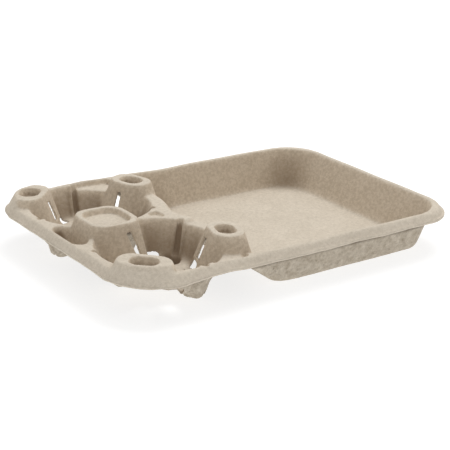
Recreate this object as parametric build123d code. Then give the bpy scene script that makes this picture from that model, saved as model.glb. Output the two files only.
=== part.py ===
from build123d import *
import math
import os

# Overall size, millimetres. The middle of the footprint is the origin and the feet stand on z = 0.
length = 390.0
width = 260.0
rim_height = 42.0
wall = 2.0

# Skirt round the deck: it flares outwards and ends in a small out-turned lip.
skirt_drop = 7.8
skirt_flare = 4.6
lip_reach = 1.4
lip_thickness = 1.6
rim_corner = 39.5
rim_round = 2.6
mouth_round = 1.5

# Border of the deck between the lip and the hollows: long sides, food end and cup end.
side_border = 10.5
food_end_border = 10.5
cup_end_border = 14.0
pocket_border = 9.0

# Cup wells, one each side of the length axis, with a flat floor above the table.
well_mouth_radius = 59.0
well_foot_radius = 40.0
well_floor = 14.0
well_floor_edge = 4.0
well_x = cup_end_border + well_mouth_radius - length / 2
well_y = width / 2 - side_border - well_mouth_radius

# Feet under the wells, down to the table. Each well has one by its long side, and one well has
# another by the cup end. Angles are about the well's axis, from the length axis to the long side.
foot_radius = well_foot_radius - 5.0
foot_size = 15.0
foot_round = 4.0
foot_draft = 14.0
foot_overlap = 4.0
side_foot_angle = 58.0
inner_foot_angle = 41.0
end_foot_angle = 190.0

# Hollow posts that steady the cups. Each has a flat ring on top round a recess. The corner and
# inner posts stand at an angle about the well's axis, a little outside the well's mouth.
outer_draft = 26.0
post_round = 2.2
recess_draft = 14.0
recess_floor_edge = 2.0
recess_edge = 1.2
corner_post = dict(angle=136.5, out=0.5, long=49.0, short=31.0, round=14.5, turn=45.0,
                   rise=8.0, draft=20.0, recess_long=26.0, recess_short=19.0, recess_round=9.0,
                   recess_depth=7.0)
inner_post = dict(angle=18.0, out=2.4, long=41.0, short=30.0, round=14.0, turn=-17.0,
                  rise=10.5, draft=18.0, recess_long=24.0, recess_short=18.0, recess_round=8.5,
                  recess_depth=7.0)

# The centre post serves both wells: it ends this far from each well's axis.
centre_post_gap = 33.5
centre_post_back = 18.5
centre_post_edge = 5.5
centre_post_long = 2 * (well_y - centre_post_gap)
centre_post = dict(long=centre_post_long, short=50.0, round=17.0, turn=0.0, rise=11.0, draft=15.0,
                   recess_long=centre_post_long - 2 * centre_post_edge, recess_short=39.0, recess_round=15.0,
                   recess_depth=5.0)

# Slot down the middle of each post face.
slot_width = 4.6
slot_drop = 0.5
slot_length = 19.0
slot_start = 12.0
slot_reach = 47.0

# Window at the foot of each post face, turned about the well's axis away from the slot. The
# centre post's lies lower and further out, at the edge of the well's floor.
window_width = 17.0
window_round = 2.4
window_gap = 1.0
window_sill = 1.5
window_start = 12.0
window_reach = 54.0
corner_window_turn = -24.0
inner_window_turn = -11.0
centre_window_turn = 41.0
low_window_start = 36.0
low_window_top = 3.5
low_window_bottom = -3.0

# Pleat in the middle of each lobe between two posts: a groove beside a rib.
pleat_groove_width = 5.0
pleat_groove_depth = 2.5
pleat_rib_width = 3.0
pleat_rib_depth = 2.4

# Shallow recess of the deck by the long side, a ledge beside the well and a saddle to the food
# compartment.
ledge_drop = 5.0
ledge_start = well_x + 15.0
ledge_end = well_x + 56.0
ledge_border = 8.5
ledge_width = 24.0
ledge_round = 6.0
ledge_draft = 16.0

# Food compartment. Two round dividers, one about each well, close it on the cup side. By the long
# sides they slope more gently, which is a second cone about a centre nearer the side.
tray_end_run = 19.5
tray_side_run = 11.5
tray_x_max = length / 2 - food_end_border
tray_y_half = width / 2 - side_border
tray_floor_x_max = tray_x_max - tray_end_run
tray_floor_y_half = tray_y_half - tray_side_run
tray_corner = 39.0
tray_floor_round = 7.0
divider_x = well_x - 4.0
divider_y = well_y - 5.0
divider_radius = well_mouth_radius + 16.0
divider_floor_radius = divider_radius + 30.0
corner_divider_y = divider_y + 20.0
corner_divider_radius = divider_radius - 17.0
corner_divider_floor_radius = divider_floor_radius + 3.0
divider_middle_x = well_x + 52.0
divider_middle_floor_x = divider_middle_x + 34.0
divider_middle_width = 40.0
tray_tip_x = well_x + 38.0

# Pocket between the centre post and the end rim.
pocket_x_min = pocket_border - length / 2
pocket_x_max = well_x - centre_post_back - 9.5
pocket_y_half = centre_post_long / 2 - 2.0
pocket_round = 9.0
pocket_depth = 15.0
pocket_draft = 20.0
pocket_well_gap = 5.0

# Bridge between the two wells, a little above the deck, with a dimple.
bridge_rise = 3.0
bridge_x_min = well_x + 4.0
bridge_x_max = well_x + 62.0
bridge_y_half = well_y - 34.5
bridge_round = 6.0
bridge_draft = 35.0
dimple_x = well_x + 36.0
dimple_length = 12.0
dimple_width = 15.0
dimple_round = 4.0
dimple_depth = 3.0
dimple_draft = 15.0

top_height = rim_height + max(corner_post["rise"], inner_post["rise"], centre_post["rise"])
clear = 5.0


def at(z, shape):
    """Shape raised to a height."""
    return Pos(0, 0, z) * shape


def rounded_outline(x_min, x_max, y_half, radius):
    """Rounded rectangle from one x to another, the same each side of the length axis."""
    middle = (x_min + x_max) / 2
    return Pos(middle, 0, 0) * RectangleRounded(x_max - x_min, 2 * y_half, radius)


def tapered(outline, top, depth, angle):
    """Block down from an outline at its top, wider below for a positive angle."""
    block = extrude(at(top, outline), amount=-depth)
    sides = block.faces().filter_by(Axis.Z, reverse=True)
    return draft(sides, Plane.XY.offset(top), angle)


def skirt_block(inset):
    """Body of the deck and its flared skirt, or the space under them for an inset of the wall."""
    crest_x = length / 2 - lip_reach - skirt_flare - inset
    crest_y = width / 2 - lip_reach - skirt_flare - inset
    crest = rounded_outline(-crest_x, crest_x, crest_y, rim_corner - inset)
    skirt_draft = math.degrees(math.atan2(skirt_flare, skirt_drop))
    block = tapered(crest, rim_height - inset, skirt_drop - inset, skirt_draft)
    return fillet(block.edges().group_by(Axis.Z)[-1], max(rim_round - inset, 0.6))


def lip():
    """Narrow flat ring that turns outwards at the foot of the skirt."""
    outer_round = rim_corner + skirt_flare + lip_reach
    plate = rounded_outline(-length / 2, length / 2, width / 2, outer_round)
    inner_x = length / 2 - lip_reach - wall
    inner_y = width / 2 - lip_reach - wall
    opening = rounded_outline(-inner_x, inner_x, inner_y, rim_corner + skirt_flare - wall)
    return extrude(at(rim_height - skirt_drop, plate - opening), amount=lip_thickness)


def well_centres():
    """Places of the two wells' axes."""
    return [(well_x, well_y), (well_x, -well_y)]


def post_centre(spec, side):
    """Middle of a post. The centre post stands on the length axis, the others beside their well."""
    if spec is centre_post:
        return well_x - centre_post_back, 0.0
    away = well_mouth_radius + spec["out"]
    angle = math.radians(spec["angle"])
    return well_x + away * math.cos(angle), side * (well_y + away * math.sin(angle))


def post_places(spec):
    """Middle and turn of each post of a kind."""
    sides = (1,) if spec is centre_post else (1, -1)
    return [(*post_centre(spec, side), -side * spec["turn"]) for side in sides]


def post(spec, place, inset):
    """Body of a post, or its hollow for an inset of the wall."""
    x, y, turn = place
    top = rim_height + spec["rise"] - inset
    outline = RectangleRounded(spec["short"] - 2 * inset, spec["long"] - 2 * inset, spec["round"] - inset)
    body = tapered(outline, top, top + clear, spec["draft"])
    body = fillet(body.edges().group_by(Axis.Z)[-1], max(post_round - inset, 0.4))
    return Pos(x, y, 0) * Rot(0, 0, turn) * body


def recess(spec, place, grow):
    """Dish in the top of a post, grown by the wall for the material round it."""
    x, y, turn = place
    top = rim_height + spec["rise"]
    depth = spec["recess_depth"] + grow
    outline = RectangleRounded(spec["recess_short"] + 2 * grow, spec["recess_long"] + 2 * grow,
                               spec["recess_round"] + grow)
    dish = tapered(outline, top, depth, -recess_draft)
    dish = chamfer(dish.edges().group_by(Axis.Z)[0], recess_floor_edge)
    if grow == 0:
        edge = RectangleRounded(spec["recess_short"] + 2 * recess_edge, spec["recess_long"] + 2 * recess_edge,
                                spec["recess_round"] + recess_edge)
        flare = tapered(edge, top, recess_edge, -45)
        dish = dish + [flare, extrude(at(top, edge), amount=clear)]
    return Pos(x, y, 0) * Rot(0, 0, turn) * dish


def post_limit(inset):
    """Space inside the outer wall, which rises from the skirt's foot and cuts off the corner posts."""
    rise = corner_post["rise"]
    in_from_lip = lip_reach + (rise + skirt_drop) * math.tan(math.radians(outer_draft)) + inset
    half_x = length / 2 - in_from_lip
    half_y = width / 2 - in_from_lip
    corner = rim_corner + skirt_flare + lip_reach - in_from_lip
    outline = rounded_outline(-half_x, half_x, half_y, corner)
    top = top_height + clear
    low = tapered(outline, rim_height + rise, rim_height + rise + 2 * clear, outer_draft)
    return low + extrude(at(rim_height + rise, outline), amount=top - rim_height - rise)


def all_posts(inset):
    """Every post, the corner ones cut back to the outer wall."""
    shapes = []
    limit = post_limit(inset)
    for spec in (corner_post, inner_post, centre_post):
        for place in post_places(spec):
            shape = post(spec, place, inset)
            shapes.append(shape & limit if spec is corner_post else shape)
    return shapes


def all_recesses(grow):
    """The dish of every post."""
    shapes = []
    for spec in (corner_post, inner_post, centre_post):
        for place in post_places(spec):
            shapes.append(recess(spec, place, grow))
    return shapes


def well_cone(x, y, grow):
    """Round cavity of a well with a chamfer round its floor, grown outwards and downwards."""
    slope = (well_mouth_radius - well_foot_radius) / rim_height
    side = grow / math.cos(math.atan(slope))
    floor = well_floor - grow
    low = well_foot_radius + slope * floor + side
    high = well_mouth_radius + slope * (top_height + clear - rim_height) + side
    cone = Cone(low, high, top_height + clear - floor, align=(Align.CENTER, Align.CENTER, Align.MIN))
    cone = Pos(x, y, floor) * cone
    return chamfer(cone.edges().group_by(Axis.Z)[0], well_floor_edge)


def radial_bar(x, y, angle, side_shift, bar_width, reach):
    """Tall bar from a well's axis outwards, moved a little sideways."""
    bar = Box(reach, bar_width, 2 * (top_height + clear), align=(Align.MIN, Align.CENTER, Align.CENTER))
    return Pos(x, y, 0) * Rot(0, 0, angle) * Pos(0, side_shift, 0) * bar


def post_directions(x, y):
    """Angles from a well's axis to the middles of its three posts."""
    side = math.copysign(1.0, y)
    directions = []
    for spec in (corner_post, inner_post, centre_post):
        post_x, post_y = post_centre(spec, side)
        directions.append(math.degrees(math.atan2(post_y - y, post_x - x)))
    return directions


def lobe_directions(x, y):
    """Angles half way between neighbouring posts."""
    turns = sorted(direction % 360 for direction in post_directions(x, y))
    following = turns[1:] + [turns[0] + 360]
    return [(first + second) / 2 for first, second in zip(turns, following)]


def ledge(y, grow):
    """Shallow recess of the deck by the long side, down to the ledge."""
    side = math.copysign(1.0, y)
    outer_y = width / 2 - ledge_border
    plate = RectangleRounded(ledge_end - ledge_start + 2 * grow, ledge_width + 2 * grow, ledge_round + grow)
    plate = Pos((ledge_start + ledge_end) / 2, side * (outer_y - ledge_width / 2), 0) * plate
    low = tapered(plate, rim_height, ledge_drop + grow, -ledge_draft)
    return low + extrude(at(rim_height, plate), amount=clear)


def well_mouth(x, y):
    """Small flare that breaks the edge of a well's mouth."""
    slope = (well_mouth_radius - well_foot_radius) / rim_height
    low = well_mouth_radius - slope * mouth_round
    high = well_mouth_radius + mouth_round
    place = Pos(x, y, rim_height)
    flare = place * Cone(low, high, mouth_round, align=(Align.CENTER, Align.CENTER, Align.MAX))
    return flare + place * Cylinder(high, clear, align=(Align.CENTER, Align.CENTER, Align.MIN))


def foot(x, y, angle, grow):
    """Square hollow foot below the floor of a well."""
    depth = well_floor + foot_overlap - wall + grow
    size = foot_size + 2 * (depth * math.tan(math.radians(foot_draft)) + grow)
    outline = RectangleRounded(size, size, foot_round + grow)
    block = tapered(outline, well_floor + foot_overlap, depth, -foot_draft)
    return Pos(x, y, 0) * Rot(0, 0, angle) * Pos(foot_radius, 0, 0) * block


def feet(x, y, grow):
    """The feet of a well."""
    if y < 0:
        angles = (-side_foot_angle, inner_foot_angle)
    else:
        angles = (side_foot_angle, -inner_foot_angle, end_foot_angle)
    return [foot(x, y, angle, grow) for angle in angles]


def well(x, y, grow, posts):
    """Cavity of a well with its pleats, feet and ledge, less the posts that stand in it."""
    cavity = well_cone(x, y, grow)
    grooved = well_cone(x, y, grow + pleat_groove_depth)
    floor_cut = Pos(x, y, well_floor - grow) * Cylinder(2 * well_mouth_radius, 2 * clear,
                                                  align=(Align.CENTER, Align.CENTER, Align.MAX))
    grooved = grooved - floor_cut
    side = -math.copysign(1.0, y)
    shift = side * pleat_groove_width / 2
    grooves = [radial_bar(x, y, angle, shift, pleat_groove_width + 2 * grow, 2 * well_mouth_radius)
               for angle in lobe_directions(x, y)]
    cavity = cavity + [grooved & groove for groove in grooves]
    if grow == 0:
        cavity = cavity + well_mouth(x, y)
        ribbed = well_cone(x, y, -pleat_rib_depth)
        ribbed = ribbed + Pos(x, y, well_floor) * Cylinder(well_foot_radius - 2 * pleat_rib_depth, 3 * clear,
                                                     align=(Align.CENTER, Align.CENTER, Align.MIN))
        shift = -side * pleat_rib_width / 2
        ribs = [radial_bar(x, y, angle, shift, pleat_rib_width, 2 * well_mouth_radius)
                for angle in lobe_directions(x, y)]
        deck = at(rim_height, Box(2 * length, 2 * width, clear, align=(Align.CENTER, Align.CENTER, Align.MIN)))
        cavity = cavity - [rib - [ribbed, deck] for rib in ribs]
    cavity = cavity + (feet(x, y, grow) + [ledge(y, grow)])
    return cavity - posts


def radial_window(x, y, angle, start, bottom, top):
    """Rounded opening cut outwards from a well's axis between two heights."""
    outline = RectangleRounded(top - bottom, window_width, window_round)
    cutter = extrude(outline, amount=window_reach - start)
    place = Pos(x, y, (top + bottom) / 2) * Rot(0, 0, angle) * Pos(start, 0, 0) * Rot(0, 90, 0)
    return place * cutter


def slots_and_windows():
    """One slot and one window for each post of each well."""
    slot_top = rim_height - slot_drop
    slot_bottom = slot_top - slot_length
    sill = well_floor + window_sill
    head = slot_bottom - window_gap
    low_sill = well_floor + low_window_bottom
    low_head = well_floor + low_window_top
    cutters = []
    for x, y in well_centres():
        side = math.copysign(1.0, y)
        corner, inner, centre = post_directions(x, y)
        for angle in (corner, inner, centre):
            slot = Box(slot_reach - slot_start, slot_width, slot_length,
                       align=(Align.MIN, Align.CENTER, Align.MIN))
            cutters.append(Pos(x, y, slot_bottom) * Rot(0, 0, angle) * Pos(slot_start, 0, 0) * slot)
        for angle, turn in ((corner, corner_window_turn), (inner, inner_window_turn)):
            cutters.append(radial_window(x, y, angle + side * turn, window_start, sill, head))
        angle = centre + side * centre_window_turn
        cutters.append(radial_window(x, y, angle, low_window_start, low_sill, low_head))
    return cutters


def tapered_box(x_min, high_x, low_x, high_y, low_y, high_z, low_z):
    """Box with an upright cup end, whose other sides lean between a higher and a lower outline."""
    x_size = high_x - x_min
    box = Wedge(x_size, high_z - low_z, 2 * high_y, 0, high_y - low_y, low_x - x_min, high_y + low_y,
                align=(Align.MIN, Align.MIN, Align.MIN))
    return Pos(x_min, -high_y, high_z) * Rot(-90, 0, 0) * box


def level(high, low, z):
    """Size of the food compartment at a height, from its values at the deck and at the floor."""
    share = (rim_height - z) / (rim_height - wall)
    return high + share * (low - high)


def corner_dividers(grow, top, bottom):
    """Gentler cones that raise the compartment's floor in its two corners on the cup side."""
    high_r = level(corner_divider_radius, corner_divider_floor_radius, top) - grow
    low_r = level(corner_divider_radius, corner_divider_floor_radius, bottom) - grow
    cone = Cone(low_r, high_r, top - bottom, align=(Align.CENTER, Align.CENTER, Align.MIN))
    return [Pos(divider_x, side * corner_divider_y, bottom) * cone for side in (-1, 1)]


def tray_hollow(grow, top, bottom):
    """Food compartment between two heights, less the dividers about the wells."""
    depth = top - bottom
    high_x = level(tray_x_max, tray_floor_x_max, top) + grow
    low_x = level(tray_x_max, tray_floor_x_max, bottom) + grow
    high_y = level(tray_y_half, tray_floor_y_half, top) + grow
    low_y = level(tray_y_half, tray_floor_y_half, bottom) + grow
    hollow = tapered_box(tray_tip_x - grow, high_x, low_x, high_y, low_y, top, bottom)
    middle_z = (top + bottom) / 2
    upright = [edge for edge in hollow.edges() if abs(edge.center().Z - middle_z) < 0.1]
    corners = [edge for edge in upright if edge.center().X > 0]
    hollow = fillet(corners, tray_corner + grow)
    high_r = level(divider_radius, divider_floor_radius, top) - grow
    low_r = level(divider_radius, divider_floor_radius, bottom) - grow
    divider = Cone(low_r, high_r, depth, align=(Align.CENTER, Align.CENTER, Align.MIN))
    dividers = [Pos(divider_x, side * divider_y, bottom) * divider for side in (-1, 1)]
    high_m = level(divider_middle_x, divider_middle_floor_x, top) - grow
    low_m = level(divider_middle_x, divider_middle_floor_x, bottom) - grow
    middle = tapered_box(well_x, high_m, low_m, divider_middle_width / 2, divider_middle_width / 2, top, bottom)
    return hollow - (dividers + [middle])


def tray_mouth():
    """Small flare that breaks the edge of the compartment's mouth."""
    outline = rounded_outline(tray_tip_x - mouth_round, tray_x_max + mouth_round, tray_y_half + mouth_round,
                              tray_corner + mouth_round)
    square = Rectangle(-tray_tip_x, 2 * (tray_y_half + mouth_round), align=(Align.MIN, Align.CENTER))
    outline = outline + Pos(tray_tip_x - mouth_round, 0, 0) * square
    flare = extrude(at(rim_height, outline), amount=-mouth_round, taper=45)
    divider = Cone(divider_radius, divider_radius - mouth_round, mouth_round,
                   align=(Align.CENTER, Align.CENTER, Align.MAX))
    dividers = [Pos(divider_x, side * divider_y, rim_height) * divider for side in (-1, 1)]
    middle = tapered_box(well_x, divider_middle_x - mouth_round, divider_middle_x, divider_middle_width / 2,
                         divider_middle_width / 2, rim_height, rim_height - mouth_round)
    return flare - (dividers + [middle])


def tray(grow, posts):
    """Cavity of the food compartment, open above, less the posts that stand in it."""
    cavity = tray_hollow(grow, rim_height, wall - grow)
    cavity = fillet(cavity.edges().group_by(Axis.Z)[0], tray_floor_round + grow)
    cavity = cavity - corner_dividers(grow, rim_height, wall - grow)
    if grow == 0:
        cavity = cavity + tray_mouth()
    mouth = cavity.faces().sort_by(Axis.Z)[-1]
    cavity = cavity + extrude(mouth, amount=top_height + clear - rim_height, dir=(0, 0, 1))
    return cavity - posts


def pocket_mouth():
    """Small flare that breaks the edge of the pocket's mouth."""
    outline = rounded_outline(pocket_x_min - mouth_round, pocket_x_max, pocket_y_half + mouth_round,
                              pocket_round + mouth_round)
    flare = tapered(outline, rim_height, mouth_round, -45)
    radius = well_mouth_radius + pocket_well_gap
    guard = Cone(radius, radius - mouth_round, mouth_round, align=(Align.CENTER, Align.CENTER, Align.MAX))
    return flare - [Pos(x, y, rim_height) * guard for x, y in well_centres()]


def pocket(grow, posts):
    """Cavity of the end pocket, kept clear of the wells."""
    depth = pocket_depth + grow
    outline = rounded_outline(pocket_x_min - grow, pocket_x_max, pocket_y_half + grow, pocket_round + grow)
    cavity = tapered(outline, rim_height, depth, -pocket_draft)
    spread = pocket_depth * math.tan(math.radians(pocket_draft))
    guards = []
    for x, y in well_centres():
        radius = well_mouth_radius + pocket_well_gap - grow
        guard = Cone(radius + spread, radius, pocket_depth, align=(Align.CENTER, Align.CENTER, Align.MAX))
        below = Cylinder(radius + spread, 2 * clear, align=(Align.CENTER, Align.CENTER, Align.MAX))
        guards.append(Pos(x, y, rim_height) * guard)
        guards.append(Pos(x, y, rim_height - pocket_depth) * below)
    cavity = cavity - guards
    if grow == 0:
        flare = pocket_mouth()
        cavity = cavity + flare
    mouth = cavity.faces().sort_by(Axis.Z)[-1]
    cavity = cavity + extrude(mouth, amount=clear, dir=(0, 0, 1))
    return cavity - posts


def bridge(inset):
    """Low rise between the wells, or its hollow for an inset of the wall."""
    rise = bridge_rise - inset
    outline = rounded_outline(bridge_x_min + inset, bridge_x_max - inset, bridge_y_half - inset, bridge_round)
    return tapered(outline, rim_height + rise, rise + wall, bridge_draft)


def dimple(grow):
    """Small square dent in the bridge."""
    outline = RectangleRounded(dimple_length + 2 * grow, dimple_width + 2 * grow, dimple_round + grow)
    outline = Pos(dimple_x, 0, 0) * outline
    top = rim_height + bridge_rise
    return tapered(outline, top, dimple_depth + grow, -dimple_draft) + extrude(at(top, outline), amount=clear)


def slab(z_min, z_max):
    """Everything between two heights."""
    plate = Box(2 * length, 2 * width, z_max - z_min, align=(Align.CENTER, Align.CENTER, Align.MIN))
    return at(z_min, plate)


def cavities(grow, posts):
    """The two wells, the food compartment and the pocket."""
    shapes = [well(x, y, grow, posts) for x, y in well_centres()]
    return shapes + [tray(grow, posts), pocket(grow, posts)]


def carrier_shell():
    """Deck with its skirt, posts and lip, and a wall round each cavity pressed down into it."""
    posts_out = all_posts(0)
    posts_in = all_posts(wall)
    upper = slab(rim_height - skirt_drop, top_height + clear)
    under = slab(-clear, rim_height) + bridge(0)

    body = skirt_block(0) + ([bridge(0)] + [shape & upper for shape in posts_out])
    hollow = skirt_block(wall) + ([bridge(wall)] + posts_in)
    inside = cavities(0, posts_out) + all_recesses(0) + [dimple(0)]
    jackets = [jacket & under for jacket in cavities(wall, posts_in)]
    dishes = [dish & shape for dish, shape in zip(all_recesses(wall), posts_out)]
    walls = jackets[0] + (jackets[1:] + dishes + [dimple(wall) & bridge(0)])
    carrier = ((body - hollow) + [walls, lip()]) - inside
    return carrier - slots_and_windows()


os.makedirs("parts", exist_ok=True)
carrier = carrier_shell()
export_step(carrier, "parts/cup_carrier.step")
print(len(carrier.solids()), "solid", round(carrier.volume), "cubic millimetres", carrier.is_valid)
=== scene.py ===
import bpy
import numpy as np
from mathutils import Matrix


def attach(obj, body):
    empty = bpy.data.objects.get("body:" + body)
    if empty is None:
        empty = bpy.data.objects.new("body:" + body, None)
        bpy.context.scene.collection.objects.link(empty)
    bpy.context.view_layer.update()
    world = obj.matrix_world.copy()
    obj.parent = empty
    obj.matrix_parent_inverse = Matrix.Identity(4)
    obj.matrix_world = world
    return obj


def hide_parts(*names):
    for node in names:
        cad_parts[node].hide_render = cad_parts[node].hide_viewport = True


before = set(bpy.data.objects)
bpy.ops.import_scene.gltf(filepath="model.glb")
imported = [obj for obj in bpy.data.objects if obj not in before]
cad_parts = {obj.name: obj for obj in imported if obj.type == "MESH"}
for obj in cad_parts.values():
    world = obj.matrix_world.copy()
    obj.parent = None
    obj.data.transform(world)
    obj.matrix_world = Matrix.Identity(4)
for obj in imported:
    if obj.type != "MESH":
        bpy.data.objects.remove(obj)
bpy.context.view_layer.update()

# The deck is the flat top of the sheet of moulded pulp. All round it the sheet turns down into a
# flared skirt that ends in a thin lip, a little wavy where it was trimmed. Sizes are millimetres
# in the frame's own axes, with the table at zero.
deck_height = 42.0
half_length, half_width = 195.0, 130.0
lip_corner = 45.5
crest_inset, crest_corner, crest_blend = 6.0, 39.5, 1.7
skirt_drop, skirt_slope = 7.8, 1.7
lip_level = deck_height - skirt_drop + 1.5
lip_blend = 0.9
lip_start, lip_edge = 4.2, 0.8
sag_depth, sag_x, sag_half, sag_edge = 3.2, -152.0, 18.0, 90.0
sag_start, sag_run = 90.0, 34.0
wave_height, ripple_height, uneven_height = 0.22, 0.12, 0.25
# Each bend is its height, its place along the rim, its half width and the width of its fade.
side_bends = ((1.7, -95.0, 8.0, 56.0), (-1.2, 2.0, 22.0, 60.0), (-0.9, -150.0, 10.0, 44.0))
side_bend_start, side_bend_run = 80.0, 45.0
end_bend, end_corner_bend = (0.9, -47.0, 6.0, 36.0), (-1.0, 95.0, 6.0, 40.0)
end_bend_start, end_bend_run = 150.0, 40.0


def soft_min(a, b, blend):
    """The lower of two heights; where they come within the blend, a parabola rounds the corner."""
    h = np.maximum(blend - np.abs(a - b), 0.0) / blend
    return np.minimum(a, b) - h * h * blend / 4


def soft_max(a, b, blend):
    """The higher of two heights, rounded in the same way."""
    return -soft_min(-a, -b, blend)


def off_outline(x, y, half_x, half_y, corner):
    """Distance from a rounded rectangle, below zero inside it."""
    across = np.abs(x) - half_x + corner
    along = np.abs(y) - half_y + corner
    reach = np.hypot(np.maximum(across, 0), np.maximum(along, 0))
    return reach + np.minimum(np.maximum(across, along), 0) - corner


def turned(x, y, place, degrees):
    """Coordinates about a place, along and across a direction."""
    c, s = np.cos(np.radians(degrees)), np.sin(np.radians(degrees))
    dx, dy = x - place[0], y - place[1]
    return dx * c + dy * s, dy * c - dx * s


def rise(value, start, run):
    """Nought up to the start, then evenly up to one over the run."""
    return np.clip((value - start) / run, 0, 1)


def smooth(share):
    """Share from nought to one, eased at both ends: three times its square less twice its cube."""
    return share * share * (3 - 2 * share)


def bump(distance, half, edge):
    """One within the half width, falling smoothly to zero over the edge."""
    return smooth(np.clip((half + edge / 2 - np.abs(distance)) / edge, 0, 1))


def bend(value, lift, place, half, edge):
    """Soft rise or dip of a given height at a place."""
    return lift * bump(value - place, half, edge)


def crest_off(x, y):
    """Distance outside the line along which the deck turns down."""
    return off_outline(x, y, half_length - crest_inset, half_width - crest_inset, crest_corner)


def lip_height(x, y):
    """Level of the lip: it hangs lower beside the cup wells, and waves a little all round."""
    sag = sag_depth * bump(x - sag_x, sag_half, sag_edge) * rise(np.abs(y), sag_start, sag_run)
    wave = wave_height * np.sin(x / 9.1 + 1.3) + wave_height * np.sin(y / 7.3 + x / 23.0)
    return lip_level - sag + (wave + ripple_height * np.sin(x / 3.7 - y / 4.1))


def add_skirt(z, x, y):
    """Height falls by the slope times the distance outside the crest, down to the lip."""
    skirt = deck_height - skirt_slope * crest_off(x, y)
    return soft_min(z, soft_max(skirt, lip_height(x, y), lip_blend), crest_blend)


def lay_lip(z, x, y):
    """Outside the skirt the sheet comes back to the level of the lip, whatever stands above it."""
    share = smooth(rise(crest_off(x, y), lip_start, lip_edge))
    return z + share * (lip_height(x, y) - z)


def rim_warp(x, y):
    """Long soft bends of the rim, where the sheet dried unevenly. They fade towards the middle."""
    beside = rise(np.abs(y), side_bend_start, side_bend_run)
    side = sum(bend(x, *shape) for shape in side_bends)
    behind = rise(-x, end_bend_start, end_bend_run)
    end = bend(y, *end_bend) + bend(np.abs(y), *end_corner_bend)
    uneven = uneven_height * np.sin(x / 17.0 + y / 29.0) * np.sin(y / 19.0 - x / 41.0 + 0.7)
    return side * beside * beside + end * behind * behind + uneven


# Two cup wells with sloping round walls. In the middle of each lobe between two posts the wall
# has a pleat, a groove beside a rib, where the pulp was pinched, and square hollow feet are
# pressed below the floors. Directions are degrees about the near well's axis, mirrored at the far.
well_x, well_y = -122.0, 60.5
well_mouth, well_foot = 59.0, 40.0
well_floor, well_floor_blend = 14.0, 7.0
well_slope = deck_height / (well_mouth - well_foot)
well_blend = 3.0
lobe_turns = (281.0, 41.0, 168.0)
pleat_start, pleat_run, pleat_aside = 15.0, 10.0, 3.2
groove_depth, groove_half, groove_edge = 3.4, 2.4, 2.0
rib_height, rib_aside, rib_half, rib_edge = 2.2, 4.4, 0.9, 1.6
foot_turns = {1: (302.0, 41.0), -1: (302.0, 41.0, 170.0)}
foot_out, foot_half, foot_corner = 35.0, 7.5, 4.0
foot_floor, foot_slope, foot_blend = 2.0, 4.0, 4.0
crease_depth, crease_half, crease_edge = 2.2, 0.8, 1.8
ledge_x, ledge_y, ledge_half_x, ledge_half_y, ledge_corner = -86.5, 109.5, 20.5, 12.0, 6.0
ledge_drop, ledge_slope, ledge_blend = 5.0, 3.4, 2.0


def about_well(x, y, side, degrees):
    """Coordinates along and across a direction from the near (1) or far (-1) well's axis."""
    return turned(x, side * y, (well_x, -well_y), degrees)


def well_surface(x, y, side):
    """Cone about the well's axis, its radius larger at a pleat's groove and smaller at its rib."""
    far = np.hypot(x - well_x, y + side * well_y)
    radius = well_mouth
    for turn in lobe_turns:
        out, across = about_well(x, y, side, turn)
        across = across + pleat_aside * side
        groove = groove_depth * bump(across, groove_half, groove_edge)
        rib = rib_height * bump(across + rib_aside, rib_half, rib_edge)
        radius = radius + rise(out, pleat_start, pleat_run) * (groove - rib)
    return deck_height + well_slope * (far - radius)


def foot_surface(x, y, side, turn):
    """Square dish under a lobe with steep walls, and a crease down the outer one."""
    out, across = about_well(x, y, side, turn)
    off = off_outline(out - foot_out, across, foot_half, foot_half, foot_corner)
    off = off + crease_depth * bump(across, crease_half, crease_edge) * (out > foot_out)
    return soft_max(foot_floor, foot_floor + foot_slope * off, foot_blend)


def add_wells(z, x, y):
    """The lowest of the deck, the wells with their feet, and the ledges by the long sides."""
    for side in (1, -1):
        well = soft_max(well_surface(x, y, side), well_floor, well_floor_blend)
        for turn in foot_turns[side]:
            well = soft_min(well, foot_surface(x, y, side, turn), well_blend)
        z = soft_min(z, well, well_blend)
    off = off_outline(x - ledge_x, np.abs(y) - ledge_y, ledge_half_x, ledge_half_y, ledge_corner)
    ledge = soft_max(deck_height + ledge_slope * off, deck_height - ledge_drop, ledge_blend)
    return soft_min(z, ledge, ledge_blend)


# The food compartment has a flat floor and steeper long walls than end wall. Its corners are
# tighter at the floor than at the deck. The divider bulges round each cup well, and slopes more
# gently in the compartment's two corners.
tray_start = -88.0
tray_end_top, tray_end_floor = 184.5, 165.0
tray_side_top, tray_side_floor = 119.5, 108.0
tray_corner_top, tray_corner_floor = 43.0, 22.0
tray_corner_least, tray_corner_most = 4.0, 60.0
tray_floor = 2.0
tray_depth = deck_height - tray_floor
tray_floor_blend, tray_blend = 7.0, 4.0
highest_share, lowest_share, halvings = -0.6, 2.2, 16
# Each bulge is a cone: its axis, and its radii at the deck and at the compartment's floor.
divider_x, divider_y, divider_top, divider_bottom = -126.0, 55.5, 75.0, 105.0
corner_x, corner_y, corner_top, corner_bottom = -126.0, 75.5, 58.0, 107.0
corner_blend, divider_blend = 6.0, 44.0
tip_blend, tip_blend_more = 2.0, 13.0


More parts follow.
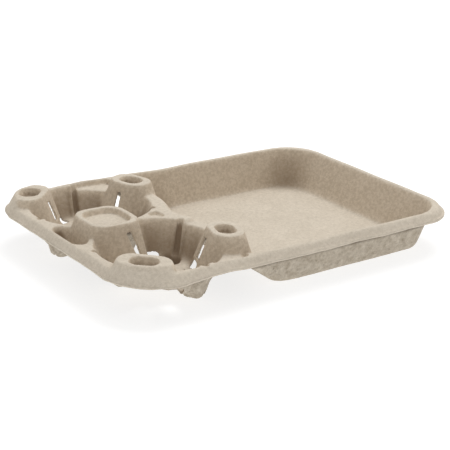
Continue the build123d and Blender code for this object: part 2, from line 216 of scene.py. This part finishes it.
def tray_wall(x, y):
    """Height of the wall over a point, from the share of the depth at which the outline meets it.

    The outline shrinks with depth, and the share is found by halving the span that it lies in.
    """
    low = np.full_like(x, highest_share)
    high = np.full_like(x, lowest_share)
    for _ in range(halvings):
        share = (low + high) / 2
        end = tray_end_top + share * (tray_end_floor - tray_end_top)
        side = tray_side_top + share * (tray_side_floor - tray_side_top)
        corner = tray_corner_top + share * (tray_corner_floor - tray_corner_top)
        corner = np.clip(corner, tray_corner_least, tray_corner_most)
        middle = (tray_start + end) / 2
        outside = off_outline(x - middle, y, end - middle, side, corner) > 0
        high = np.where(outside, share, high)
        low = np.where(outside, low, share)
    return deck_height - (low + high) / 2 * tray_depth


def bulge(x, y, place_x, place_y, top, bottom):
    """Cone that falls from the deck at its top radius to the compartment's floor at its bottom."""
    far = np.hypot(x - place_x, y - place_y)
    return deck_height - tray_depth / (bottom - top) * (far - top)


def add_tray(z, x, y):
    """The highest of the floor, the outer wall and the divider's bulges, pressed in the deck."""
    bulges = []
    for side in (1, -1):
        round_well = bulge(x, y, divider_x, side * divider_y, divider_top, divider_bottom)
        in_corner = bulge(x, y, corner_x, side * corner_y, corner_top, corner_bottom)
        bulges.append(soft_max(round_well, in_corner, corner_blend))
    divider = soft_max(bulges[0], bulges[1], divider_blend)
    wall = tray_wall(x, y)
    depth = np.clip((deck_height - np.maximum(wall, divider)) / tray_depth, 0, 1)
    tray = soft_max(wall, divider, tip_blend + tip_blend_more * depth)
    return soft_min(z, soft_max(tray, tray_floor, tray_floor_blend), tray_blend)


# A deep pocket lies between the centre post and the end rim, and a low bridge with a small dimple
# in it between the two wells. Both are pressed in the same sheet.
pocket_start, pocket_end, pocket_side, pocket_corner = -186.5, -150.0, 25.0, 9.0
pocket_floor = deck_height - 15.0
pocket_guard, pocket_guard_blend = 5.0, 4.0
pocket_slope, pocket_floor_blend, pocket_blend = 3.0, 6.0, 3.6
bridge_x, bridge_half_x, bridge_half_y, bridge_corner = -89.0, 29.0, 26.0, 6.0
bridge_top = deck_height + 3.0
bridge_slope, bridge_inside, bridge_top_blend, bridge_blend = 1.4, -4.0, 2.0, 2.5
dimple_x, dimple_half_x, dimple_half_y, dimple_corner = -86.0, 6.0, 7.5, 4.0
dimple_slope, dimple_blend = 3.5, 2.0


def add_pocket(z, x, y):
    """Rounded dish kept clear of the wells: the slope times the distance inside its outline."""
    middle = (pocket_start + pocket_end) / 2
    off = off_outline(x - middle, y, pocket_end - middle, pocket_side, pocket_corner)
    for side in (1, -1):
        guard = well_mouth + pocket_guard - np.hypot(x - well_x, y - side * well_y)
        off = soft_max(off, guard, pocket_guard_blend)
    pocket = soft_max(deck_height + pocket_slope * off, pocket_floor, pocket_floor_blend)
    return soft_min(z, pocket, pocket_blend)


def add_bridge(z, x, y):
    """Flat mound that slopes off all round, with a dish pressed down to the deck's level."""
    off = off_outline(x - bridge_x, y, bridge_half_x, bridge_half_y, bridge_corner)
    bridge = bridge_top - bridge_slope * np.maximum(off, bridge_inside)
    z = soft_max(z, soft_min(bridge, bridge_top, bridge_top_blend), bridge_blend)
    off = off_outline(x - dimple_x, y, dimple_half_x, dimple_half_y, dimple_corner)
    dimple = soft_max(bridge_top + dimple_slope * off, deck_height, dimple_blend)
    return soft_min(z, dimple, dimple_blend)


# Hollow posts stand round each well and grip the cup. Each has a flat ring on top round a recess.
# A post's middle, direction, ring and recess are given once and mirrored to the other well.
posts = (
    dict(x=-165.1, y=101.5, turn=-45.0, long=49.0, short=31.0, corner=14.5, rise=8.0, slope=2.7,
         dish_long=26.0, dish_short=19.0, dish_corner=9.0, dish_depth=7.0),
    dict(x=-63.6, y=79.5, turn=17.0, long=41.0, short=30.0, corner=14.0, rise=10.5, slope=2.8,
         dish_long=24.0, dish_short=18.0, dish_corner=8.5, dish_depth=7.0),
    dict(x=-140.5, y=0.0, turn=0.0, long=50.5, short=49.0, corner=15.0, rise=11.0, slope=3.7,
         dish_long=40.0, dish_short=38.5, dish_corner=13.0, dish_depth=5.0),
)
dish_slope, dish_floor_blend, dish_blend = 4.0, 4.0, 2.0
post_top_blend, post_foot_blend = 2.6, 4.5
outer_start, outer_slope = 4.6, 2.05


def each_post(x, y):
    """Every post with the coordinates across and along its ring, and the distance outside it."""
    for post in posts:
        for side in ((1, -1) if post["y"] else (1,)):
            across, along = turned(x, side * y, (post["x"], post["y"]), post["turn"])
            off = off_outline(across, along, post["short"] / 2, post["long"] / 2, post["corner"])
            yield post, across, along, off


def add_posts(z, x, y):
    """Each post is its top height less the slope times the distance outside its ring."""
    outer_wall = deck_height - skirt_drop + outer_slope * (outer_start - crest_off(x, y))
    for post, across, along, off in each_post(x, y):
        top = deck_height + post["rise"]
        body = soft_min(top, top - post["slope"] * off, post_top_blend)
        body = soft_min(body, outer_wall, post_top_blend)
        z = soft_max(z, body, post_foot_blend)
        off = off_outline(across, along, post["dish_short"] / 2, post["dish_long"] / 2,
                          post["dish_corner"])
        dish = soft_max(top + dish_slope * off, top - post["dish_depth"], dish_floor_blend)
        z = soft_min(z, dish, dish_blend)
    return z


# The slots down the post faces and the windows at their feet are torn open in the wet sheet, so
# their edges are a little ragged. A slot's turn is its direction from the well's axis, and a
# window's shift is how far on from the slot it is turned.
slots = (
    dict(turn=226.0, aside=0.0, half=4.2, lean=0.12, level=32.0, reach=9.5),
    dict(turn=342.0, aside=-2.0, half=3.6, lean=0.0, level=34.5, reach=9.5),
    dict(turn=107.0, aside=2.2, half=2.8, lean=-0.3, level=33.5, reach=11.5),
)
windows = (
    dict(shift=27.0, half=7.5, level=17.0, reach=4.4, start=33.0),
    dict(shift=11.0, half=8.5, level=18.0, reach=3.6, start=12.0),
    dict(shift=-42.0, half=6.6, level=14.0, reach=2.8, start=36.0),
)
slot_start, slot_end, lean_level = 12.0, 47.0, 33.0
window_end, window_corner = 54.0, 2.4
far_slot_share = 0.75
no_hole_near = 50.0
ragged_fine, ragged_broad = 0.3, 0.25


def slot_gauge(x, y, z, side, slot):
    """Distance outside a slot: its half width across, its reach up and down, and its span out."""
    out, across = about_well(x, y, side, slot["turn"])
    across = across + slot["aside"] * (side > 0) + slot["lean"] * (z - lean_level)
    half = slot["half"] * (1.0 if side > 0 else far_slot_share)
    gauge = np.maximum(np.abs(across) - half, np.abs(z - slot["level"]) - slot["reach"])
    return np.maximum(gauge, np.maximum(slot_start - out, out - slot_end))


def window_gauge(x, y, z, side, turn, window):
    """Distance outside a window: a rounded rectangle across and up, and its span out."""
    out, across = about_well(x, y, side, turn + window["shift"])
    gauge = off_outline(across, z - window["level"], window["half"], window["reach"],
                        window_corner)
    return np.maximum(gauge, np.maximum(window["start"] - out, out - window_end))


def hole_gauge(x, y, z):
    """Below zero where the sheet is open: the nearest slot's or window's distance."""
    gauge = np.full_like(x, no_hole_near)
    for side in (1, -1):
        for slot, window in zip(slots, windows):
            gauge = np.minimum(gauge, slot_gauge(x, y, z, side, slot))
            gauge = np.minimum(gauge, window_gauge(x, y, z, side, slot["turn"], window))
    ragged = ragged_fine * np.sin(1.9 * x + 1.1 * z) * np.sin(2.3 * y - 1.7 * z)
    return gauge + (ragged + ragged_broad * np.sin(0.8 * x - 1.3 * z))


# The whole carrier is one sheet. Its upper face is a grid fitted inside the lip's outline and
# drawn together where the surface is steep or sharply bent, then trimmed at the holes. The wall's
# thickness is added below it.
grid_across, grid_along = 176, 272
pull_rounds = (160, 90, 50, 28)
grid_doublings = len(pull_rounds) - 1
weigh_every, bend_weight, most_weight, least_step = 4, 4.0, 7.0, 1e-6
sheet_thickness = 1.9
straight_x, straight_y = half_length - lip_corner, half_width - lip_corner
quarter_arc = np.pi / 2 * lip_corner


def height(x, y):
    """Upper face of the sheet: the deck, then each pressed shape in turn."""
    z = np.full_like(x, deck_height)
    z = add_bridge(z, x, y)
    z = add_wells(z, x, y)
    z = add_tray(z, x, y)
    z = add_pocket(z, x, y)
    z = add_skirt(z, x, y)
    return lay_lip(add_posts(z, x, y), x, y) + rim_warp(x, y)


def outline_point(shares):
    """Points of the lip's outline at shares of its length, from the middle of the +X side.

    The outline is five straights, the first and last being halves of one, with a quarter circle
    between each two.
    """
    steps = [0, straight_y, quarter_arc, 2 * straight_x, quarter_arc, 2 * straight_y, quarter_arc,
             2 * straight_x, quarter_arc, straight_y]
    marks = np.cumsum(steps)
    run = np.mod(shares, 1.0) * marks[-1]
    part = np.clip(np.searchsorted(marks, run, side="right") - 1, 0, 8)
    t = run - marks[part]
    cos, sin = lip_corner * np.cos(t / lip_corner), lip_corner * np.sin(t / lip_corner)
    flat = 0 * t
    x = np.choose(part, [half_length + flat, straight_x + cos, straight_x - t, -straight_x - sin,
                         flat - half_length, -straight_x - cos, t - straight_x, straight_x + sin,
                         half_length + flat])
    y = np.choose(part, [t, straight_y + sin, half_width + flat, straight_y + cos,
                         straight_y - t, -straight_y - sin, flat - half_width, -straight_y - cos,
                         t - straight_y])
    return x, y


def start_sides(rows, columns):
    """Outline shares of the grid's four sides, which meet at the middles of the corners."""
    whole = 4 * straight_x + 4 * straight_y + 4 * quarter_arc
    a = (straight_y + quarter_arc / 2) / whole
    b = (straight_y + quarter_arc * 1.5 + 2 * straight_x) / whole
    c, d = 1 - b, 1 - a
    bottom, top = np.linspace(c, d, columns), np.linspace(b, a, columns)
    left, right = np.linspace(c, b, rows), np.linspace(d - 1, a, rows)
    return [bottom, top, left, right]


def put_edges(x, y, sides):
    """The grid's four sides laid on the outline."""
    x[0], y[0] = outline_point(sides[0])
    x[-1], y[-1] = outline_point(sides[1])
    x[:, 0], y[:, 0] = outline_point(sides[2])
    x[:, -1], y[:, -1] = outline_point(sides[3])


def blend_grid(rows, columns, sides):
    """Grid blended from its sides: the sum of the two straight blends less the corner blend."""
    u = np.linspace(0, 1, columns)[None, :]
    v = np.linspace(0, 1, rows)[:, None]
    result = []
    points = [outline_point(side) for side in sides]
    for axis in (0, 1):
        low, high, left, right = (point[axis] for point in points)
        rule = (1 - v) * low[None, :] + v * high[None, :]
        rule = rule + (1 - u) * left[:, None] + u * right[:, None]
        corners = (1 - u) * (1 - v) * low[0] + u * (1 - v) * low[-1]
        corners = corners + (1 - u) * v * high[0] + u * v * high[-1]
        result.append(rule - corners)
    return result


def link_weight(x, y, z, lean_x, lean_y, axis):
    """How much longer a link between neighbours is in space and bend than it is on the plan."""
    flat = np.hypot(np.diff(x, axis=axis), np.diff(y, axis=axis))
    full = np.sqrt(flat ** 2 + np.diff(z, axis=axis) ** 2 + np.diff(lean_x, axis=axis) ** 2
                   + np.diff(lean_y, axis=axis) ** 2)
    return np.clip(full / np.maximum(flat, least_step), 1.0, most_weight)


def link_weights(x, y):
    """Weights of the links along the rows and along the columns."""
    z = height(x, y)
    lean = []
    for axis in (1, 0):
        step = np.hypot(np.gradient(x, axis=axis), np.gradient(y, axis=axis))
        lean.append(np.gradient(z, axis=axis) / np.maximum(step, least_step))
    size = np.sqrt(1 + lean[0] * lean[0] + lean[1] * lean[1])
    lean_x, lean_y = lean[0] / size * bend_weight, lean[1] / size * bend_weight
    return [link_weight(x, y, z, lean_x, lean_y, axis) for axis in (1, 0)]


def pull(x, y, sides, rounds):
    """Each point moves to the mean of its neighbours weighted by how much surface lies between."""
    for turn in range(rounds):
        if turn % weigh_every == 0:
            wx, wy = link_weights(x, y)
        left, right, below, above = wx[1:-1, :-1], wx[1:-1, 1:], wy[:-1, 1:-1], wy[1:, 1:-1]
        total = left + right + below + above
        for grid in (x, y):
            grid[1:-1, 1:-1] = (left * grid[1:-1, :-2] + right * grid[1:-1, 2:]
                                + below * grid[:-2, 1:-1] + above * grid[2:, 1:-1]) / total
        for side, weight in zip(sides, (wx[1], wx[-2], wy[:, 1], wy[:, -2])):
            mean = weight[:-1] * side[:-2] + weight[1:] * side[2:]
            side[1:-1] = mean / (weight[:-1] + weight[1:])
        put_edges(x, y, sides)


def finer(grid):
    """Twice as many cells, new points half way between the old."""
    rows, columns = grid.shape
    wide = np.empty((rows, columns * 2 - 1))
    wide[:, ::2] = grid
    wide[:, 1::2] = (grid[:, 1:] + grid[:, :-1]) / 2
    full = np.empty((rows * 2 - 1, columns * 2 - 1))
    full[::2] = wide
    full[1::2] = (wide[1:] + wide[:-1]) / 2
    return full


def sheet_grid():
    """Coarse grid, pulled and made twice as fine by turns."""
    rows = grid_across // 2 ** grid_doublings + 1
    columns = grid_along // 2 ** grid_doublings + 1
    sides = start_sides(rows, columns)
    x, y = blend_grid(rows, columns, sides)
    pull(x, y, sides, pull_rounds[0])
    for rounds in pull_rounds[1:]:
        x, y = finer(x), finer(y)
        sides = [finer(side[None, :])[0] for side in sides]
        put_edges(x, y, sides)
        pull(x, y, sides, rounds)
    return x, y


def trim(points, quads, gauge):
    """Grid kept where the gauge is above zero, its triangles cut straight where it changes sign.

    A cut triangle has one odd corner, a, alone inside or alone outside, and two others, b and c.
    """
    inside = gauge > 0
    whole = inside[quads].all(axis=1)
    broken = quads[~whole]
    triangles = np.concatenate([broken[:, [0, 1, 2]], broken[:, [0, 2, 3]]])
    count = inside[triangles].sum(axis=1)
    cut = triangles[(count == 1) | (count == 2)]
    single = inside[cut].sum(axis=1) == 1
    odd = np.argmax(np.where(single[:, None], inside[cut], ~inside[cut]), axis=1)
    a, b, c = (cut[np.arange(len(cut)), (odd + k) % 3] for k in range(3))
    ends = np.sort(np.concatenate([np.stack([a, b], 1), np.stack([a, c], 1)]), axis=1)
    total = len(points)
    keys, back = np.unique(ends[:, 0] * total + ends[:, 1], return_inverse=True)
    first, second = keys // total, keys % total
    share = (gauge[first] / (gauge[first] - gauge[second]))[:, None]
    fresh = points[first] + share * (points[second] - points[first])
    ab, ac = total + back[:len(cut)], total + back[len(cut):]
    triangles = np.concatenate([triangles[count == 3], np.stack([a, ab, ac], 1)[single],
                                np.stack([ab, b, c], 1)[~single],
                                np.stack([ab, c, ac], 1)[~single]])
    points = np.concatenate([points, fresh])
    used = np.unique(np.concatenate([quads[whole].ravel(), triangles.ravel()]))
    number = np.full(len(points), -1)
    number[used] = np.arange(len(used))
    return points[used], number[quads[whole]], number[triangles]


def make_mesh(name, points, quads, triangles):
    """Mesh in metres from points in millimetres and faces of four and three corners."""
    mesh = bpy.data.meshes.new(name)
    mesh.vertices.add(len(points))
    mesh.vertices.foreach_set("co", (points / 1000).astype(np.float32).ravel())
    corners = np.concatenate([quads.ravel(), triangles.ravel()])
    starts = np.concatenate([np.arange(len(quads)) * 4,
                             len(quads) * 4 + np.arange(len(triangles)) * 3])
    mesh.loops.add(len(corners))
    mesh.loops.foreach_set("vertex_index", corners.astype(np.int32))
    mesh.polygons.add(len(starts))
    mesh.polygons.foreach_set("loop_start", starts.astype(np.int32))
    mesh.polygons.foreach_set("use_smooth", np.ones(len(starts), dtype=bool))
    mesh.update(calc_edges=True)
    mesh.validate()
    return mesh


grid_x, grid_y = sheet_grid()
number = np.arange(grid_x.size).reshape(grid_x.shape)
cells = np.stack([number[:-1, :-1], number[:-1, 1:], number[1:, 1:], number[1:, :-1]], -1)
grid_points = np.stack([grid_x.ravel(), grid_y.ravel(), height(grid_x, grid_y).ravel()], 1)
sheet = trim(grid_points, cells.reshape(-1, 4), hole_gauge(*grid_points.T))
carrier_mesh = make_mesh("carrier_sheet", *sheet)
carrier = bpy.data.objects.new("carrier_sheet", carrier_mesh)
bpy.context.collection.objects.link(carrier)
wall = carrier.modifiers.new("wall", "SOLIDIFY")
wall.thickness = sheet_thickness / 1000
wall.offset = -1.0
wall.material_offset = 1
wall.material_offset_rim = 0

# Two numbers are kept at each point of the sheet for its finish: how much sky the point sees,
# for painted shade that darkens the sheet deep between its walls, and how steep it is there,
# because the steep walls are rougher than the level parts and are painted warmer and darker for
# the shade and bounced light on them.
sky_half_x, sky_half_y, sky_step = 200, 134, 2.0
sky_turns, sky_reaches = 16, (1, 2, 3, 4, 6, 8, 11, 15, 20, 27)
table_start, skirt_start = 5.0, -6.0
flank_share, flank_reach, flank_start = 0.8, 13.0, -2.0
skirt_fade = 5.0


def openness(x, y):
    """Share of the sky over a point: one less the mean sine of the horizon's height all round.

    The horizon is looked up on an even grid of heights, then read at the points by linear
    blending. The outer faces of the posts and the skirt keep most or all of their sky.
    """
    across, along = np.meshgrid(np.arange(-sky_half_x, sky_half_x + 1, sky_step),
                                np.arange(-sky_half_y, sky_half_y + 1, sky_step))
    base = np.where(crest_off(across, along) > table_start, 0.0, height(across, along))
    hidden = np.zeros_like(base)
    for turn in np.arange(sky_turns) * 2 * np.pi / sky_turns:
        steep = np.zeros_like(base)
        for reach in sky_reaches:
            dx, dy = int(round(reach * np.cos(turn))), int(round(reach * np.sin(turn)))
            moved = np.roll(base, (-dy, -dx), axis=(0, 1))
            steep = np.maximum(steep, (moved - base) / (np.hypot(dx, dy) * sky_step))
        hidden += steep / np.hypot(1, steep) / sky_turns
    for _, _, _, off in each_post(across, along):
        near = np.clip(1 - off / flank_reach, 0, 1) * (off > flank_start)
        hidden = hidden * (1 - flank_share * near)
    share = np.where(crest_off(across, along) > skirt_start, 1.0, 1 - hidden)
    u, v = (x + sky_half_x) / sky_step, (y + sky_half_y) / sky_step
    i, j = np.floor(u).astype(int), np.floor(v).astype(int)
    u, v = u - i, v - j
    low = share[j, i] * (1 - u) + share[j, i + 1] * u
    high = share[j + 1, i] * (1 - u) + share[j + 1, i + 1] * u
    return low * (1 - v) + high * v


def steepness(x, y):
    """Slope of the sheet from heights a millimetre either side, fading to nought at the skirt."""
    slope = np.hypot(height(x + 1, y) - height(x - 1, y), height(x, y + 1) - height(x, y - 1)) / 2
    return slope * np.clip(-crest_off(x, y) / skirt_fade, 0, 1)


for name, measure in (("open_sky", openness), ("steep", steepness)):
    values = measure(*sheet[0][:, :2].T).astype(np.float32)
    carrier_mesh.attributes.new(name, "FLOAT", "POINT").data.foreach_set("value", values)

# Upper side: unbleached pulp pressed fairly smooth. Warm beige, matt, with soft clouds, a fine
# felted grain and single fibres lying all ways.
pulp_dark, pulp_light = (0.54, 0.475, 0.385, 1), (0.735, 0.66, 0.555, 1)
# These two colours are painted shade: one for the steep walls, one for deep between the walls.
steep_shade_tint, painted_hollow_shade = (0.52, 0.40, 0.275, 1), (0.24, 0.17, 0.11, 1)
pale_fibre, dark_fibre = (0.72, 0.67, 0.57, 1), (0.40, 0.34, 0.26, 1)
fibre_axis = (0.2, 0.3, 0.93)


class Wire:
    """Output of a shader node. Arithmetic on it adds Math nodes to the same tree."""

    def __init__(self, tree, socket=None):
        self.tree, self.socket = tree, socket

    def node(self, kind, settings, inputs, output=0):
        """New node with its settings and its inputs, which are values or other wires."""
        made = self.tree.nodes.new(kind)
        for name, value in settings.items():
            setattr(made, name, value)
        for key, value in inputs.items():
            if isinstance(value, Wire):
                self.tree.links.new(value.socket, made.inputs[key])
            else:
                made.inputs[key].default_value = value
        return Wire(self.tree, made.outputs[output])

    def math(self, operation, first, second):
        return self.node("ShaderNodeMath", {"operation": operation}, {0: first, 1: second})

    def __add__(self, other):
        return self.math("ADD", self, other)

    def __radd__(self, other):
        return self.math("ADD", other, self)

    def __sub__(self, other):
        return self.math("SUBTRACT", self, other)

    def __rsub__(self, other):
        return self.math("SUBTRACT", other, self)

    def __mul__(self, other):
        return self.math("MULTIPLY", self, other)

    def __rmul__(self, other):
        return self.math("MULTIPLY", other, self)

    def stretch(self, factors):
        """Vector times a vector."""
        return self.node("ShaderNodeVectorMath", {"operation": "MULTIPLY"}, {0: self, 1: factors})

    def spin(self, angle):
        """Vector turned about a nearly upright axis."""
        return self.node("ShaderNodeVectorRotate", {},
                         {"Vector": self, "Axis": fibre_axis, "Angle": angle})

    def noise(self, scale, detail, rough=0.55):
        """Noise over a vector, its scale in cells a metre."""
        return self.node("ShaderNodeTexNoise", {}, {"Vector": self, "Scale": scale,
                                                    "Detail": detail, "Roughness": rough})

    def kept(self, name):
        """Number kept at the mesh's points under a name."""
        return self.node("ShaderNodeAttribute", {"attribute_name": name}, {}, "Fac")

    def ramp(self, low, high):
        """Nought to one, smoothly, as the value goes from low to high."""
        return self.node("ShaderNodeMapRange", {"interpolation_type": "SMOOTHSTEP"},
                         {0: self, 1: low, 2: high})

    def blend(self, low, high):
        """Colour between two, by this share."""
        return self.node("ShaderNodeMix", {"data_type": "RGBA"}, {0: self, 6: low, 7: high}, 2)


def new_material(name):
    """Material, its shader node, and object coordinates to work from."""
    material = bpy.data.materials.new(name)
    material.use_nodes = True
    place = Wire(material.node_tree).node("ShaderNodeTexCoord", {}, {}, "Object")
    return material, material.node_tree.nodes["Principled BSDF"], place


def finish(shader, colour, roughness, relief, strength, distance):
    """Colour, roughness and bump of a shader."""
    bumped = relief.node("ShaderNodeBump", {},
                         {"Strength": strength, "Distance": distance, "Height": relief})
    for name, wire in (("Base Color", colour), ("Roughness", roughness), ("Normal", bumped)):
        wire.tree.links.new(wire.socket, shader.inputs[name])


pulp, shader, place = new_material("moulded_pulp")
cloud = place.noise(26.0, 3.0)
felt = place.noise(330.0, 4.0, 0.6)
grain = place.noise(1500.0, 3.0, 0.6)
fibre_a = place.spin(0.6).stretch((1.0, 0.09, 1.0)).noise(2400.0, 2.0).ramp(0.60, 0.72)
fibre_b = place.spin(2.1).stretch((1.0, 0.09, 1.0)).noise(2100.0, 2.0).ramp(0.61, 0.73)
rough = place.kept("steep").ramp(0.3, 1.6)
streak = place.spin(0.9).stretch((1.0, 0.3, 1.0)).noise(300.0, 5.0, 0.7)
shade = 0.5 + 0.7 * (cloud - 0.5) + 1.3 * (grain - 0.5)
shade = shade + (1.5 + 2.2 * rough) * (felt - 0.5) + (0.4 + 2.2 * rough) * (streak - 0.5)
colour = shade.blend(pulp_dark, pulp_light)
# Painted shade: the steep walls are blended towards a darker, warmer brown, as shade and bounced
# light make them look.
colour = (0.4 * rough).blend(colour, steep_shade_tint)
colour = (0.35 * fibre_a).blend(colour, pale_fibre)
colour = (0.35 * fibre_b).blend(colour, dark_fibre)
# Painted shade: the colour goes towards dark brown where the sheet sees little sky, deep in the
# wells and the tray.
hollow_shade_share = place.kept("open_sky").ramp(0.60, 0.34)
colour = (0.85 * hollow_shade_share).blend(colour, painted_hollow_shade)
relief = 0.8 * felt + 0.35 * grain + 0.2 * fibre_a + 0.2 * fibre_b
finish(shader, colour, 0.82 + 0.16 * felt, relief, 0.7, 0.0007)
shader.inputs["Specular IOR Level"].default_value = 0.25
carrier_mesh.materials.append(pulp)

# Under side: the face that lay on the screen. Woollier, with tufts, pits and pale flecks, and
# painted shade close under the lip, where the skirt shades it. Solidify gives it this second
# material.
wool_dark, wool_light = (0.39, 0.33, 0.25, 1), (0.66, 0.59, 0.49, 1)
fleck, pit_dark, lip_painted_shadow = (0.70, 0.66, 0.58, 1), (0.25, 0.20, 0.15, 1), (0.13, 0.10, 0.07, 1)

wool, shader, place = new_material("pulp_screen_side")
tuft = place.noise(150.0, 5.0, 0.65)
felt = place.noise(480.0, 4.0, 0.6)
fibre_a = place.spin(1.2).stretch((1.0, 0.12, 1.0)).noise(1500.0, 2.0).ramp(0.58, 0.70)
pit = place.node("ShaderNodeTexVoronoi", {}, {"Vector": place, "Scale": 210.0}).ramp(0.32, 0.12)
shade = 0.5 + 2.4 * (tuft - 0.5) + 1.1 * (felt - 0.5)
colour = shade.blend(wool_dark, wool_light)
colour = (0.5 * fibre_a).blend(colour, fleck)
colour = (0.35 * pit * tuft).blend(colour, pit_dark)
# Painted shadow: above a set height, close under the lip, the under side darkens to near black.
level = place.node("ShaderNodeSeparateXYZ", {}, {"Vector": place}, "Z").ramp(0.0235, 0.028)
colour = (0.8 * level).blend(colour, lip_painted_shadow)
relief = 1.2 * tuft + 0.5 * felt + 0.25 * fibre_a - 0.3 * pit
finish(shader, colour, 0.86 + 0.12 * tuft, relief, 0.8, 0.0016)
shader.inputs["Specular IOR Level"].default_value = 0.2
carrier_mesh.materials.append(wool)
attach(carrier, "root")
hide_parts("cup_carrier")

# The table under the carrier: a plain pale sheet that also glows a little, so that it stays
# nearly white beside the carrier. It isn't part of the object.
floor_half = 6
floor_mesh = bpy.data.meshes.new("floor")
floor_mesh.from_pydata([(-floor_half, -floor_half, 0), (floor_half, -floor_half, 0),
                        (floor_half, floor_half, 0), (-floor_half, floor_half, 0)],
                       [], [(0, 1, 2, 3)])
floor = bpy.data.objects.new("floor", floor_mesh)
bpy.context.collection.objects.link(floor)
paper = bpy.data.materials.new("white_paper")
paper.use_nodes = True
paper_inputs = paper.node_tree.nodes["Principled BSDF"].inputs
paper_inputs["Base Color"].default_value = (0.36, 0.36, 0.36, 1)
paper_inputs["Roughness"].default_value = 0.9
paper_inputs["Emission Color"].default_value = (1, 1, 1, 1)
paper_inputs["Emission Strength"].default_value = 0.76
floor_mesh.materials.append(paper)

# Soft light comes from a wide panel above and behind the carrier, to the right, and from a pale
# room all round.
world = bpy.data.worlds.new("room")
bpy.context.scene.world = world
world.use_nodes = True
room_inputs = world.node_tree.nodes["Background"].inputs
room_inputs["Color"].default_value = (1, 0.985, 0.965, 1)
room_inputs["Strength"].default_value = 0.62
panel_data = bpy.data.lights.new("panel", "AREA")
panel_data.size = 1.3
panel_data.energy = 21
panel = bpy.data.objects.new("panel", panel_data)
panel.location = (0.75, 0.5, 1.75)
panel.rotation_euler = (-0.4756, 0.0, -0.9828)
bpy.context.collection.objects.link(panel)
bpy.context.scene.view_settings.view_transform = "Standard"

# The camera looks down the length of the carrier from beside the cup wells. Its turn, lift and
# roll are about the target, a point at the level of the deck.
camera_turn, camera_lift, camera_roll = np.radians(37.33), np.radians(20.49), np.radians(2.66)
camera_distance = 1.1459
camera_target = np.array([-0.0415, -0.0494, deck_height / 1000])
focal_pixels, image_pixels = 1227.5, 450
ahead = np.array([np.sin(camera_turn) * np.cos(camera_lift),
                  np.cos(camera_turn) * np.cos(camera_lift), -np.sin(camera_lift)])
right = np.array([np.cos(camera_turn), -np.sin(camera_turn), 0.0])
up = np.cross(right, ahead)
right, up = (right * np.cos(camera_roll) + up * np.sin(camera_roll),
             up * np.cos(camera_roll) - right * np.sin(camera_roll))
matrix = np.eye(4)
matrix[:3, 0], matrix[:3, 1], matrix[:3, 2] = right, up, -ahead
matrix[:3, 3] = camera_target - ahead * camera_distance
camera_data = bpy.data.cameras.new("camera")
camera_data.sensor_width = 36.0
camera_data.lens = focal_pixels / image_pixels * camera_data.sensor_width
camera_data.clip_end = 20.0
camera = bpy.data.objects.new("camera", camera_data)
camera.matrix_world = Matrix(matrix.tolist())
bpy.context.collection.objects.link(camera)
bpy.context.scene.camera = camera

# Bring the scene's transforms up to date.
bpy.context.view_layer.update()
